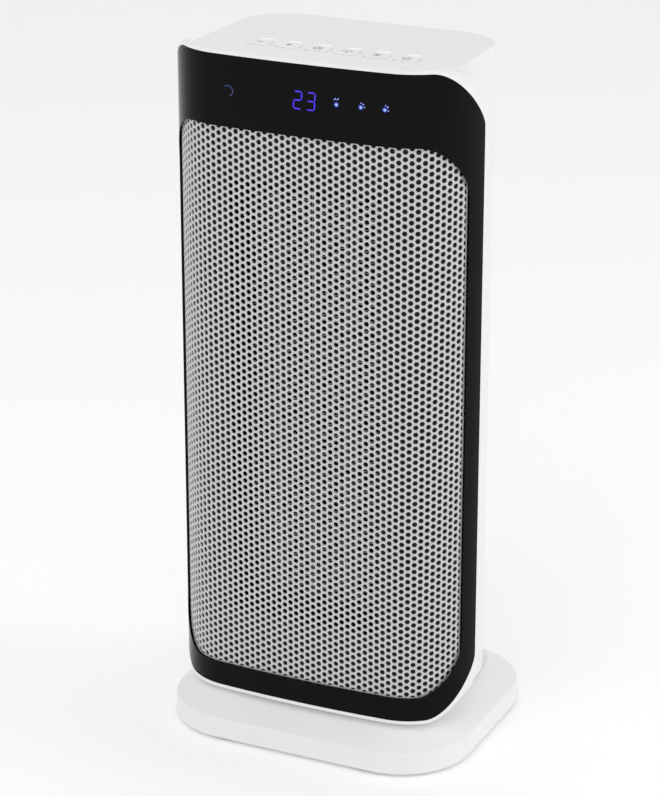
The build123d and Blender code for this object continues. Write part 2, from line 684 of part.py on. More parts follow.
PIECES = {
    "base_plate": make_base_plate,
    "base_cover": make_base_cover,
    "rubber_feet": make_feet,
    "base_screws": make_base_screws,
    "cord_grommet": make_cord_grommet,
    "spindle_tube": make_spindle,
    "retaining_ring": make_retaining_ring,
    "turntable_washer": lambda: tube(0, 0, RING[1] - 0.3, RING[0] + 0.3, BOSS_TOP, WASHER_TOP),
    "swing_gear": make_swing_gear,
    "tip_plunger": make_plunger,
    "tip_spring": make_tip_spring,
    "tip_switch": make_tip_switch,
    "swing_pinion": make_swing_pinion,
    "swing_motor": make_swing_motor,
    "tower_floor": make_tower_floor,
    "front_bezel": make_bezel,
    "front_fascia": make_fascia,
    "front_grille": make_grille,
    "receiver_lens": make_receiver_lens,
    "infrared_receiver": make_receiver,
    "digit_display": make_digit_display,
    "indicator_lamps": make_indicators,
    "display_board": make_display_board,
    "rear_housing": make_housing,
    "tower_screws": make_tower_screws,
    "top_cover": make_top_cover,
    "key_lights": make_key_lights,
    "control_board": make_control_board,
    "tact_switches": make_tact_switches,
    "filter_cover": make_filter_cover,
    "dust_filter": make_dust_filter,
    "handle_cup": make_handle_cup,
    "switch_case": make_switch_case,
    "power_rocker": make_rocker,
    "heater_frame": make_heater_frame,
    "outlet_duct": make_outlet_duct,
    "heater_fins": make_heater_fins,
    "ptc_stones": make_ptc_stones,
    "heater_electrodes": make_electrodes,
    "heater_terminals": make_terminals,
    "heater_brackets": make_heater_brackets,
    "thermal_cutout": make_thermal_cutout,
    "thermal_fuse": make_thermal_fuse,
    "duct_base": make_duct_base,
    "duct_top": make_duct_top,
    "duct_scroll": make_scroll,
    "duct_tongue": make_tongue,
    "blower_wheel": make_wheel,
    "blower_shaft": make_shaft,
    "shaft_bearings": make_bearings,
    "motor_bracket": make_motor_bracket,
    "motor_stator": lambda: tube(0, WHEEL_Y, 27, 13, 50, 64),
    "motor_coils": lambda: tube(0, WHEEL_Y, 20.6, 14, 64, 71),
    "motor_rotor": make_rotor,
}

os.makedirs("parts", exist_ok=True)
for name, make in PIECES.items():
    save(name, make())
for index, name in enumerate(KEY_NAMES):
    save(f"key_{name}", make_key(index))
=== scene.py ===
from math import cos, hypot, pi, radians, sin, sqrt

import bmesh
import bpy
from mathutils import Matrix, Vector


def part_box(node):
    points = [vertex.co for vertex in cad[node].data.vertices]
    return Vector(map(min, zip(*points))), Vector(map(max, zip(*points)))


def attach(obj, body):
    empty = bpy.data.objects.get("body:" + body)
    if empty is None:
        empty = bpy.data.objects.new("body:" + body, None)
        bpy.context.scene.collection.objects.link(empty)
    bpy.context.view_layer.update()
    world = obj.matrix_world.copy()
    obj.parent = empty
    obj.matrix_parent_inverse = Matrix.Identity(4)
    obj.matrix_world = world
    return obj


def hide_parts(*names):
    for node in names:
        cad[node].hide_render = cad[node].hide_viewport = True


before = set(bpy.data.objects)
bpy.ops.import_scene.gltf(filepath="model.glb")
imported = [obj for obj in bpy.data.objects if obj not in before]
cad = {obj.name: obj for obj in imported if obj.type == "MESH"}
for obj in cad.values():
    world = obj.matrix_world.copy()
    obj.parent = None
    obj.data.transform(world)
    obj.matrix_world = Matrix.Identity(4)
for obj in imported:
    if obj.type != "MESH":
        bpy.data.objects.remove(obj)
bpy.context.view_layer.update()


# ---------------------------------------------------------------- camera
# A long lens on a tripod, about 1.7 m away and above the heater, to the right of its front.
view_turn, view_tilt = radians(25.30), radians(20.95)
camera = bpy.data.objects.new("camera", bpy.data.cameras.new("camera"))
camera.data.lens = 129.7
camera.data.sensor_width = 36.0
camera.data.clip_end = 50.0
camera.location = (0.6301, -1.3571, 0.7627)
looking = Vector((-sin(view_turn) * cos(view_tilt), cos(view_turn) * cos(view_tilt),
                  -sin(view_tilt)))
camera.rotation_euler = looking.to_track_quat("-Z", "Y").to_euler()
bpy.context.scene.collection.objects.link(camera)
bpy.context.scene.camera = camera


# ---------------------------------------------------------------- studio
# A pale seamless floor under a big softbox above and in front, with a softbox each side and
# pale surroundings. The side softbox on the right is the stronger of the two.
def linear(hex_colour):
    """A colour written as sRGB hex, as the linear values that a shader takes."""
    parts = [int(hex_colour[i:i + 2], 16) / 255 for i in (1, 3, 5)]
    return [c / 12.92 if c <= 0.04045 else ((c + 0.055) / 1.055) ** 2.4 for c in parts] + [1.0]


def add(tree, kind, settings=(), inputs=()):
    """Add one node with its settings, and its inputs as values or links."""
    new = tree.nodes.new(kind)
    for name, value in dict(settings).items():
        setattr(new, name, value)
    for name, value in dict(inputs).items():
        if isinstance(value, bpy.types.NodeSocket):
            tree.links.new(value, new.inputs[name])
        else:
            new.inputs[name].default_value = value
    return new


def finished(name):
    """A new material, with its node tree and its surface shader."""
    material = bpy.data.materials.new(name)
    material.use_nodes = True
    return material, material.node_tree, material.node_tree.nodes["Principled BSDF"]


def new_piece(name, mesh, material):
    piece = bpy.data.objects.new(name, mesh)
    bpy.context.scene.collection.objects.link(piece)
    mesh.materials.append(material)
    return piece


# Opal acrylic table, lit faintly from below: matt, and the eye takes it as one pale tone.
opal_table, tree, surface = finished("opal_acrylic_table")
grain = add(tree, "ShaderNodeTexNoise", inputs={"Scale": 3.0, "Detail": 2.0})
tone = add(tree, "ShaderNodeMix", {"data_type": "RGBA"},
           {"Factor": grain.outputs["Fac"], 6: linear("#F7F7F7"), 7: linear("#F9F9F9")})
tree.links.new(tone.outputs[2], surface.inputs["Base Color"])
surface.inputs["Roughness"].default_value = 0.9
surface.inputs["Specular IOR Level"].default_value = 0.1
surface.inputs["Emission Color"].default_value = linear("#FFFFFF")
surface.inputs["Emission Strength"].default_value = 0.13

floor_mesh = bpy.data.meshes.new("studio_floor")
FLOOR_RADIUS, FLOOR_SIDES = 9, 64
angles = [2 * pi * a / FLOOR_SIDES for a in range(FLOOR_SIDES)]
rim = [(FLOOR_RADIUS * cos(a), FLOOR_RADIUS * sin(a), 0) for a in angles]
floor_mesh.from_pydata(rim, [], [tuple(range(FLOOR_SIDES))])
new_piece("studio_floor", floor_mesh, opal_table)

world = bpy.data.worlds.new("studio")
bpy.context.scene.world = world
world.use_nodes = True
world.node_tree.nodes["Background"].inputs["Color"].default_value = (1, 1, 1, 1)
world.node_tree.nodes["Background"].inputs["Strength"].default_value = 0.74
bpy.context.scene.view_settings.view_transform = "Standard"


def softbox(name, place, target, size, watts):
    light = bpy.data.objects.new(name, bpy.data.lights.new(name, "AREA"))
    light.data.shape = "RECTANGLE"
    light.data.size, light.data.size_y = size
    light.data.energy = watts
    light.location = place
    aim = Vector(target) - Vector(place)
    light.rotation_euler = aim.to_track_quat("-Z", "Y").to_euler()
    light.visible_camera = False
    bpy.context.scene.collection.objects.link(light)


softbox("overhead_softbox", (0.15, -1.25, 2.0), (0, 0, 0.1), (1.6, 1.6), 9)
softbox("right_softbox", (1.7, 0.4, 0.9), (0, 0, 0.2), (0.9, 1.4), 6)
softbox("left_softbox", (-1.6, -0.9, 0.9), (0, 0, 0.2), (0.9, 1.4), 1.5)


# ---------------------------------------------------------------- base
# The base is a low dished moulding in white ABS, with a sloped rim and an upright skirt.
# A flat plate closes it from below, held by four screws, and it stands on rubber feet.
MM = 0.001


def coordinates(tree):
    """The piece's own coordinates, in millimetres."""
    own = add(tree, "ShaderNodeTexCoord")
    return add(tree, "ShaderNodeVectorMath", {"operation": "SCALE"},
               {0: own.outputs["Object"], "Scale": 1 / MM}).outputs[0]


def moulded(name, dark, light, gloss, grain_mm, depth_mm, specular=0.5):
    """Injection-moulded plastic: even colour, a fine eroded grain, slightly uneven gloss."""
    material, tree, surface = finished(name)
    place = coordinates(tree)
    broad = add(tree, "ShaderNodeTexNoise", inputs={"Vector": place, "Scale": 1 / 60,
                                                    "Detail": 3.0})
    tone = add(tree, "ShaderNodeMix", {"data_type": "RGBA"},
               {"Factor": broad.outputs["Fac"], 6: linear(dark), 7: linear(light)})
    tree.links.new(tone.outputs[2], surface.inputs["Base Color"])
    patches = add(tree, "ShaderNodeTexNoise", inputs={"Vector": place, "Scale": 1 / 14,
                                                      "Detail": 4.0})
    uneven = add(tree, "ShaderNodeMapRange", inputs={
        "Value": patches.outputs["Fac"], "To Min": gloss[0], "To Max": gloss[1]})
    tree.links.new(uneven.outputs["Result"], surface.inputs["Roughness"])
    fine = add(tree, "ShaderNodeTexNoise", inputs={"Vector": place, "Scale": 1 / grain_mm,
                                                   "Detail": 1.0})
    relief = add(tree, "ShaderNodeBump", inputs={
        "Height": fine.outputs["Fac"], "Strength": 0.35, "Distance": depth_mm * MM})
    tree.links.new(relief.outputs["Normal"], surface.inputs["Normal"])
    surface.inputs["Specular IOR Level"].default_value = specular
    surface.inputs["IOR"].default_value = 1.53
    return material


def cover_with(material, *nodes):
    """Give CAD nodes a material in place of the plain one they were packed with."""
    for node in nodes:
        mesh = cad[node].data
        mesh.materials.clear()
        mesh.materials.append(material)


# White ABS from a spark-eroded mould: satin, a little softer in its highlights than gloss.
# The real grain is about 0.1 mm, drawn at 0.9 mm because finer would not show.
white_abs = moulded("white_abs_satin", "#EBEBEC", "#F0F0F1", (0.28, 0.38), 0.9, 0.012)
cover_with(white_abs, "base_cover", "base_plate")

# Nitrile rubber, pressed in a mould: matt, with a trace of bloom on its surface.
rubber = moulded("nitrile_rubber", "#17171A", "#242427", (0.72, 0.88), 0.7, 0.05, 0.3)
cover_with(rubber, "rubber_feet", "cord_grommet")


# Zinc-plated steel: bright and slightly blue, with fine lines across it. They are shells
# round the origin, about six times the fineness apart, so they cross small pieces nearly level.
def plated(name, dark, light, rough, fineness):
    material, tree, surface = finished(name)
    place = coordinates(tree)
    clouds = add(tree, "ShaderNodeTexNoise", inputs={"Vector": place, "Scale": 1 / 5,
                                                     "Detail": 4.0})
    tone = add(tree, "ShaderNodeMix", {"data_type": "RGBA"},
               {"Factor": clouds.outputs["Fac"], 6: linear(dark), 7: linear(light)})
    tree.links.new(tone.outputs[2], surface.inputs["Base Color"])
    lines = add(tree, "ShaderNodeTexWave", {"wave_type": "RINGS", "rings_direction": "SPHERICAL"},
                {"Vector": place, "Scale": 0.05 / fineness, "Distortion": 1.5})
    uneven = add(tree, "ShaderNodeMapRange", inputs={
        "Value": lines.outputs["Fac"], "To Min": rough[0], "To Max": rough[1]})
    tree.links.new(uneven.outputs["Result"], surface.inputs["Roughness"])
    surface.inputs["Metallic"].default_value = 1.0
    return material


zinc = plated("zinc_plated_steel", "#A9ADB2", "#C3C6CA", (0.25, 0.4), 0.3)
cover_with(zinc, "base_screws")


# ---------------------------------------------------------------- swing
# The tower turns on a hollow acetal spindle in the base, on a slippery washer. A small
# geared motor in the tower drives a pinion round a fixed gear, and a tip switch stops it all.
# Acetal is milky and waxy: light goes a little way into it and its gloss is soft.
acetal = moulded("natural_acetal", "#E4E2D8", "#EEECE4", (0.35, 0.5), 1.2, 0.01, 0.4)
acetal.node_tree.nodes["Principled BSDF"].inputs["Subsurface Weight"].default_value = 0.15
acetal.node_tree.nodes["Principled BSDF"].inputs["Subsurface Scale"].default_value = 2 * MM
cover_with(acetal, "spindle_tube", "swing_gear", "swing_pinion", "turntable_washer")
cover_with(zinc, "retaining_ring", "tip_spring")

tin = plated("tin_plated_can", "#B5B5B2", "#CACAC7", (0.2, 0.32), 0.6)
cover_with(tin, "swing_motor")

# Black ABS, moulded without polish: dark grey in the light, with a broad dull sheen.
black_abs = moulded("black_abs_matt", "#121213", "#1C1C1E", (0.45, 0.6), 0.8, 0.03, 0.35)
cover_with(black_abs, "tip_switch", "tip_plunger", "tower_floor")


# ---------------------------------------------------------------- tower shell
# A white ABS wrap with a separate lid, clipped together and screwed from behind. The bezel
# at the front is the third moulding, and its lip shows round the black panel.
cover_with(white_abs, "rear_housing", "top_cover", "front_bezel")
cover_with(zinc, "tower_screws")


# ---------------------------------------------------------------- black front panel
# The front panel is black acrylic, bent to the curve of the front and held on the bezel.
# Acrylic is clear black to its edge: a mirror-like surface with a very faint waviness.
gloss_black, tree, surface = finished("black_acrylic_polished")
place = coordinates(tree)
haze = add(tree, "ShaderNodeTexNoise", inputs={"Vector": place, "Scale": 1 / 25, "Detail": 5.0})
tone = add(tree, "ShaderNodeMix", {"data_type": "RGBA"},
           {"Factor": haze.outputs["Fac"], 6: linear("#050506"), 7: linear("#080809")})
tree.links.new(tone.outputs[2], surface.inputs["Base Color"])
polish = add(tree, "ShaderNodeMapRange", inputs={
    "Value": haze.outputs["Fac"], "To Min": 0.05, "To Max": 0.09})
tree.links.new(polish.outputs["Result"], surface.inputs["Roughness"])
waves = add(tree, "ShaderNodeTexNoise", inputs={"Vector": place, "Scale": 1 / 18})
relief = add(tree, "ShaderNodeBump", inputs={
    "Height": waves.outputs["Fac"], "Strength": 0.2, "Distance": 0.02 * MM})
tree.links.new(relief.outputs["Normal"], surface.inputs["Normal"])
surface.inputs["Specular IOR Level"].default_value = 0.09
surface.inputs["IOR"].default_value = 1.49
cover_with(gloss_black, "front_fascia")


# ---------------------------------------------------------------- grille
# The grille is steel sheet, punched with 3 mm round holes on a 4 mm triangular pitch, bent
# to the curve of the front and painted silver. Its plain edge is clamped behind the panel.
PITCH = 4.0 * MM
COLUMN_SPACING = PITCH * sqrt(3) / 2
HOLE_RADIUS = 1.5 * MM
SHEET_INSET = 1.6 * MM          # how far the sheet's face lies behind the panel's
SHEET_THICK = 0.8 * MM
ARC_RADII = (740 * MM, 36.3 * MM, 50 * MM)
ARC_TURNS = (radians(3.95), radians(38.5), radians(72))
OPENING_TURN = radians(65.1)
OPENING_Z = (42.1 * MM, 356.7 * MM)
OPENING_CORNER = 30 * MM
front_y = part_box("front_fascia")[0].y


def front_line(turn, inset):
    """A point of the front's plan curve, this far behind the panel's face."""
    x, y, radius = 0.0, front_y + ARC_RADII[0], ARC_RADII[0]
    for mark, tighter in zip(ARC_TURNS, ARC_RADII[1:]):
        if abs(turn) > mark:
            x += (radius - tighter) * sin(mark)
            y -= (radius - tighter) * cos(mark)
            radius = tighter
    radius -= inset
    x += radius * sin(abs(turn))
    return Vector((x if turn >= 0 else -x, y - radius * cos(turn), 0))


def run_length(turn, inset):
    """Length along the plan curve, from its middle to this turn."""
    done, length = 0.0, 0.0
    for mark, radius in zip(ARC_TURNS, ARC_RADII):
        step = min(turn, mark) - done
        if step > 0:
            length += (radius - inset) * step
            done += step
    return length


def flat_cell(name, holed):
    """One hexagon of the sheet, lying flat, with or without its round hole."""
    mesh = bpy.data.meshes.new(name)
    corners = [Vector((PITCH / sqrt(3) * cos(a * pi / 3), PITCH / sqrt(3) * sin(a * pi / 3), 0))
               for a in range(6)]
    if not holed:
        mesh.from_pydata(corners, [], [tuple(range(6))])
        return bpy.data.objects.new(name, mesh)
    angles = [(a + 0.5) * pi / 4 for a in range(8)]
    hole = [Vector((HOLE_RADIUS * cos(t), HOLE_RADIUS * sin(t), 0)) for t in angles]
    faces = []
    outer, inner = 0, 0
    while outer < 6 or inner < 8:
        next_outer, next_inner = (outer + 1) / 6, (inner + 1.5) / 8
        if inner == 8 or (outer < 6 and next_outer <= next_inner):
            faces.append((outer % 6, (outer + 1) % 6, 6 + inner % 8))
            outer += 1
        else:
            faces.append((outer % 6, 6 + (inner + 1) % 8, 6 + inner % 8))
            inner += 1
    mesh.from_pydata(corners + hole, [], faces)
    return bpy.data.objects.new(name, mesh)


def perforated_sheet_tree():
    """Lays cells in staggered columns inside a rounded outline, then bends them to a line."""
    tree = bpy.data.node_groups.new("perforated_sheet", "GeometryNodeTree")
    tree.interface.new_socket("Geometry", in_out="OUTPUT", socket_type="NodeSocketGeometry")
    for name, kind in (("Holed cell", "Object"), ("Plain cell", "Object"), ("Line", "Object"),
                       ("Columns", "Int"), ("Rows", "Int"), ("Column spacing", "Float"),
                       ("Pitch", "Float"), ("Half width", "Float"), ("Half height", "Float"),
                       ("Middle height", "Float"), ("Corner", "Float"), ("Edge cover", "Float"),
                       ("Plain edge", "Float"), ("Material", "Material")):
        tree.interface.new_socket(name, in_out="INPUT", socket_type=f"NodeSocket{kind}")
    given = add(tree, "NodeGroupInput").outputs
    index = add(tree, "GeometryNodeInputIndex")
    position = add(tree, "GeometryNodeInputPosition")
    at = add(tree, "ShaderNodeSeparateXYZ", inputs={0: position.outputs[0]})
    line = add(tree, "GeometryNodeObjectInfo", inputs={"Object": given["Line"]})
    whole = add(tree, "GeometryNodeCurveLength", inputs={"Curve": line.outputs["Geometry"]})
    value = {socket.name: socket for socket in given}
    value.update({"index": index.outputs[0], "x": at.outputs["X"], "y": at.outputs["Y"],
                  "line length": whole.outputs[0]})

    # each row is one sum: its name, its operation and the two values that it takes
    for name, operation, first, second in (
            ("column gaps", "SUBTRACT", "Columns", 1.0),
            ("grid width", "MULTIPLY", "column gaps", "Column spacing"),
            ("row gaps", "SUBTRACT", "Rows", 1.0),
            ("grid height", "MULTIPLY", "row gaps", "Pitch"),
            # every second column is half a pitch higher
            ("columns done", "DIVIDE", "index", "Rows"),
            ("column", "FLOOR", "columns done", 0.0),
            ("odd", "MODULO", "column", 2.0),
            ("half step", "MULTIPLY", "odd", 0.5),
            ("stagger", "SUBTRACT", "half step", 0.25),
            ("rise", "MULTIPLY", "stagger", "Pitch"),
            # distance outside the rounded outline, negative inside it
            ("core width", "SUBTRACT", "Half width", "Corner"),
            ("size x", "ABSOLUTE", "x", 0.0),
            ("beyond x", "SUBTRACT", "size x", "core width"),
            ("core height", "SUBTRACT", "Half height", "Corner"),
            ("size y", "ABSOLUTE", "y", 0.0),
            ("beyond y", "SUBTRACT", "size y", "core height"),
            ("outer x", "MAXIMUM", "beyond x", 0.0),
            ("outer y", "MAXIMUM", "beyond y", 0.0),
            ("square x", "POWER", "outer x", 2.0),
            ("square y", "POWER", "outer y", 2.0),
            ("squares", "ADD", "square x", "square y"),
            ("reach", "SQRT", "squares", 0.0),
            ("greater", "MAXIMUM", "beyond x", "beyond y"),
            ("inner", "MINIMUM", "greater", 0.0),
            ("rounded", "ADD", "reach", "inner"),
            ("outside", "SUBTRACT", "rounded", "Corner"),
            ("holed", "LESS_THAN", "outside", "Edge cover"),
            ("kept", "LESS_THAN", "outside", "Plain edge"),
            ("plain", "SUBTRACT", "kept", "holed"),
            # the width becomes length along the line, and the height stands up
            ("half line", "MULTIPLY", "line length", 0.5),
            ("along", "ADD", "x", "half line"),
            ("up", "ADD", "y", "Middle height")):
        value[name] = add(tree, "ShaderNodeMath", {"operation": operation}, {
            0: value.get(first, first), 1: value.get(second, second)}).outputs[0]

    grid = add(tree, "GeometryNodeMeshGrid", inputs={
        "Size X": value["grid width"], "Size Y": value["grid height"],
        "Vertices X": given["Columns"], "Vertices Y": given["Rows"]})
    shift = add(tree, "ShaderNodeCombineXYZ", inputs={"Y": value["rise"]})
    staggered = add(tree, "GeometryNodeSetPosition", inputs={
        "Geometry": grid.outputs["Mesh"], "Offset": shift.outputs[0]})
    joined = add(tree, "GeometryNodeJoinGeometry")
    for chosen, cell in (("plain", "Plain cell"), ("holed", "Holed cell")):
        shape = add(tree, "GeometryNodeObjectInfo", inputs={"Object": given[cell]})
        laid = add(tree, "GeometryNodeInstanceOnPoints", inputs={
            "Points": staggered.outputs[0], "Selection": value[chosen],
            "Instance": shape.outputs["Geometry"]})
        tree.links.new(laid.outputs[0], joined.inputs[0])
    real = add(tree, "GeometryNodeRealizeInstances", inputs={"Geometry": joined.outputs[0]})
    merged = add(tree, "GeometryNodeMergeByDistance", inputs={
        "Geometry": real.outputs[0], "Distance": 0.02 * MM})
    sample = add(tree, "GeometryNodeSampleCurve", {"mode": "LENGTH"}, {
        "Curves": line.outputs["Geometry"], "Length": value["along"]})
    bent = add(tree, "ShaderNodeSeparateXYZ", inputs={0: sample.outputs["Position"]}).outputs
    upright = add(tree, "ShaderNodeCombineXYZ", inputs={
        "X": bent["X"], "Y": bent["Y"], "Z": value["up"]})
    stood = add(tree, "GeometryNodeSetPosition", inputs={
        "Geometry": merged.outputs[0], "Position": upright.outputs[0]})
    painted = add(tree, "GeometryNodeSetMaterial", inputs={
        "Geometry": stood.outputs[0], "Material": given["Material"]})
    add(tree, "NodeGroupOutput", inputs={"Geometry": painted.outputs[0]})
    return tree


def grown(name, tree, values):
    """The plain mesh that a geometry tree makes with these inputs."""
    seed = bpy.data.objects.new(name, bpy.data.meshes.new(name))
    bpy.context.scene.collection.objects.link(seed)
    modifier = seed.modifiers.new(name, "NODES")
    modifier.node_group = tree
    for item in tree.interface.items_tree:
        if item.in_out == "INPUT" and item.name in values:
            modifier[item.identifier] = values[item.name]
    bpy.context.view_layer.update()
    ready = seed.evaluated_get(bpy.context.evaluated_depsgraph_get())
    mesh = bpy.data.meshes.new_from_object(ready)
    bpy.data.objects.remove(seed)
    return mesh


# Silver paint on steel: pale flakes in a clear binder, so it is bright but not a mirror,
# with a slight sparkle. Flakes are about 0.05 mm, drawn at 0.5 mm.
silver_paint, tree, surface = finished("silver_painted_steel")
place = coordinates(tree)
flakes = add(tree, "ShaderNodeTexVoronoi", inputs={"Vector": place, "Scale": 1 / 0.5})
tone = add(tree, "ShaderNodeMix", {"data_type": "RGBA"},
           {"Factor": flakes.outputs["Distance"], 6: linear("#CECED1"), 7: linear("#BEBEC2")})
tree.links.new(tone.outputs[2], surface.inputs["Base Color"])
clouds = add(tree, "ShaderNodeTexNoise", inputs={"Vector": place, "Scale": 1 / 8})
uneven = add(tree, "ShaderNodeMapRange", inputs={
    "Value": clouds.outputs["Fac"], "To Min": 0.34, "To Max": 0.44})
tree.links.new(uneven.outputs["Result"], surface.inputs["Roughness"])
surface.inputs["Metallic"].default_value = 0.25
surface.inputs["Coat Weight"].default_value = 0.15

plan_line = bpy.data.curves.new("front_plan_line", "CURVE")
plan_line.dimensions = "3D"
spline = plan_line.splines.new("POLY")
LINE_STEPS = 150                # on each side of the middle
turns = [ARC_TURNS[-1] * (i / LINE_STEPS - 1) for i in range(2 * LINE_STEPS + 1)]
spline.points.add(len(turns) - 1)
for point, turn in zip(spline.points, turns):
    point.co = (*front_line(turn, SHEET_INSET), 1)
plan_object = bpy.data.objects.new("front_plan_line", plan_line)
bpy.context.scene.collection.objects.link(plan_object)

middle = (OPENING_Z[0] + OPENING_Z[1]) / 2
helpers = [flat_cell("holed_cell", True), flat_cell("plain_cell", False), plan_object]
grille_mesh = grown("punched_grille", perforated_sheet_tree(), {
    "Holed cell": helpers[0], "Plain cell": helpers[1], "Line": plan_object,
    "Columns": 61, "Rows": 84, "Column spacing": COLUMN_SPACING, "Pitch": PITCH,
    "Half width": run_length(OPENING_TURN, SHEET_INSET),
    "Half height": (OPENING_Z[1] - OPENING_Z[0]) / 2, "Middle height": middle,
    "Corner": OPENING_CORNER, "Edge cover": 0.6 * MM, "Plain edge": 4.0 * MM,
    "Material": silver_paint})
for helper in helpers:
    bpy.data.objects.remove(helper)
grille = bpy.data.objects.new("punched_grille", grille_mesh)
bpy.context.scene.collection.objects.link(grille)
thickness = grille.modifiers.new("thickness", "SOLIDIFY")
thickness.thickness = SHEET_THICK
thickness.offset = -1.0
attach(grille, "tower")
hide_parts("front_grille")


# ---------------------------------------------------------------- display
# Behind the panel a small board carries two seven-segment digits and three lamps. They show
# only where they are lit, as blue light in the surface of the black acrylic.
def prisms(name, outlines, place, material):
    """Thin closed prisms, one on each flat outline; place(u, v, height) stands them up."""
    mesh = bpy.data.meshes.new(name)
    points, faces = [], []
    for outline in outlines:
        start, count = len(points), len(outline)
        points += [place(u, v, False) for u, v in outline]
        points += [place(u, v, True) for u, v in outline]
        faces.append(tuple(start + i for i in reversed(range(count))))
        faces.append(tuple(start + count + i for i in range(count)))
        for i in range(count):
            j = (i + 1) % count
            faces.append((start + i, start + j, start + count + j, start + count + i))
    mesh.from_pydata(points, [], faces)
    shape = bmesh.new()
    shape.from_mesh(mesh)
    bmesh.ops.recalc_face_normals(shape, faces=shape.faces)
    shape.to_mesh(mesh)
    shape.free()
    return new_piece(name, mesh, material)


def bar(x0, y0, x1, y1, width):
    """A straight stroke with pointed ends."""
    length = hypot(x1 - x0, y1 - y0)
    ux, uy = (x1 - x0) / length, (y1 - y0) / length
    half = width / 2
    tip = min(half, length * 0.3)
    return [(x0, y0), (x0 + ux * tip - uy * half, y0 + uy * tip + ux * half),
            (x1 - ux * tip - uy * half, y1 - uy * tip + ux * half), (x1, y1),
            (x1 - ux * tip + uy * half, y1 - uy * tip - ux * half),
            (x0 + ux * tip + uy * half, y0 + uy * tip - ux * half)]


def arc(x, y, radius, width, start=0, stop=360, steps=24):
    """A round stroke, as a run of four-sided pieces."""
    turns = [radians(start + (stop - start) * i / steps) for i in range(steps + 1)]
    inner, outer = radius - width / 2, radius + width / 2
    return [[(x + inner * cos(a), y + inner * sin(a)), (x + outer * cos(a), y + outer * sin(a)),
             (x + outer * cos(b), y + outer * sin(b)), (x + inner * cos(b), y + inner * sin(b))]
            for a, b in zip(turns, turns[1:])]


def spot(x, y, radius):
    """A filled circle."""
    sides = 20
    return [(x + radius * cos(2 * pi * i / sides), y + radius * sin(2 * pi * i / sides))
            for i in range(sides)]


PROUD, SUNK = 0.05 * MM, 0.1 * MM       # how far lit shapes stand out of and reach into it


def on_panel(u, v, outer):
    """A place on the panel's middle arc, u across and v up in mm, just proud or just inside."""
    x = u * MM
    back = ARC_RADII[0] - sqrt(ARC_RADII[0] ** 2 - x * x)
    return (x, front_y + back - (PROUD if outer else -SUNK), v * MM)


# Lit lamp colour in black acrylic: the glow is even, with a faint grain from the diffuser. The
# same glow also paints highlights, on the receiver's ring and behind the keys.
def glowing(name, colour, strength):
    grain_mm = 0.4
    material, tree, surface = finished(name)
    speckle = add(tree, "ShaderNodeTexNoise", inputs={
        "Vector": coordinates(tree), "Scale": 1 / grain_mm})
    tone = add(tree, "ShaderNodeMix", {"data_type": "RGBA"},
               {"Factor": speckle.outputs["Fac"], 6: linear(colour[0]), 7: linear(colour[1])})
    tree.links.new(tone.outputs[2], surface.inputs["Emission Color"])
    tree.links.new(tone.outputs[2], surface.inputs["Base Color"])
    surface.inputs["Emission Strength"].default_value = strength
    surface.inputs["Roughness"].default_value = 0.25
    surface.inputs["Specular IOR Level"].default_value = 0.15
    return material


digit_light = glowing("blue_segment_light", ("#3A2ABC", "#4A38D4"), 0.8)
DIGIT_WIDTH, DIGIT_HEIGHT, STROKE, LEAN = 4.4, 9.2, 0.7, 0.07
SEGMENTS = {"2": "abged", "3": "abgcd"}
low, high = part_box("digit_display")
digits_x, digits_z = (low.x + high.x) / 2 / MM, (low.z + high.z) / 2 / MM
ends = {"a": (0, 2, 1, 2), "b": (1, 2, 1, 1), "c": (1, 1, 1, 0), "d": (0, 0, 1, 0),
        "e": (0, 1, 0, 0), "g": (0, 1, 1, 1)}
DIGIT_OFFSET, GAP = 3.8, 0.12
strokes = []
for middle_x, digit in ((digits_x - DIGIT_OFFSET, "2"), (digits_x + DIGIT_OFFSET, "3")):
    for segment in SEGMENTS[digit]:
        x0, z0, x1, z1 = ends[segment]
        a = Vector(((x0 - 0.5) * DIGIT_WIDTH, (z0 - 1) * DIGIT_HEIGHT / 2))
        b = Vector(((x1 - 0.5) * DIGIT_WIDTH, (z1 - 1) * DIGIT_HEIGHT / 2))
        a, b = a.lerp(b, GAP / 2), b.lerp(a, GAP / 2)
        strokes.append(bar(middle_x + a.x + LEAN * a.y, digits_z + a.y,
                           middle_x + b.x + LEAN * b.y, digits_z + b.y, STROKE))
digits = prisms("lit_digits", strokes, on_panel, digit_light)
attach(digits, "tower")

# The three lamps light small round windows, each with its sign beside it: heat, fan, cool.
halo_light = glowing("blue_lamp_halo", ("#1A2560", "#223078"), 0.8)
core_light = glowing("blue_lamp_core", ("#6F86E6", "#9DB0F6"), 0.8)
lamps_x = (21.6, 35.2, 48.4)
lamp_z = digits_z
HALO_RADIUS, CORE_RADIUS, FLAME_STROKE = 1.5, 0.75, 0.4
halos = prisms("lamp_halos", [spot(x, lamp_z, HALO_RADIUS) for x in lamps_x], on_panel,
               halo_light)
cores = [spot(x, lamp_z - 0.1, CORE_RADIUS) for x in lamps_x]
signs = [bar(20.2, lamp_z + 2.4, 21.4, lamp_z + 3.4, FLAME_STROKE),
         bar(21.8, lamp_z + 2.4, 23.0, lamp_z + 3.4, FLAME_STROKE)]
for x, rise, radius in ((36.6, 1.6, 0.35), (37.2, 0.2, 0.3), (35.4, 2.2, 0.3),
                        (50.0, 1.5, 0.4), (50.3, -0.4, 0.3), (48.8, 2.2, 0.3)):
    signs.append(spot(x, lamp_z + rise, radius))


def on_halo(u, v, outer):
    x, y, z = on_panel(u, v, outer)
    return (x, y - 0.03 * MM, z)


lit_signs = prisms("lamp_cores_and_signs", cores + signs, on_halo, core_light)
for piece in (halos, lit_signs):
    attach(piece, "tower")
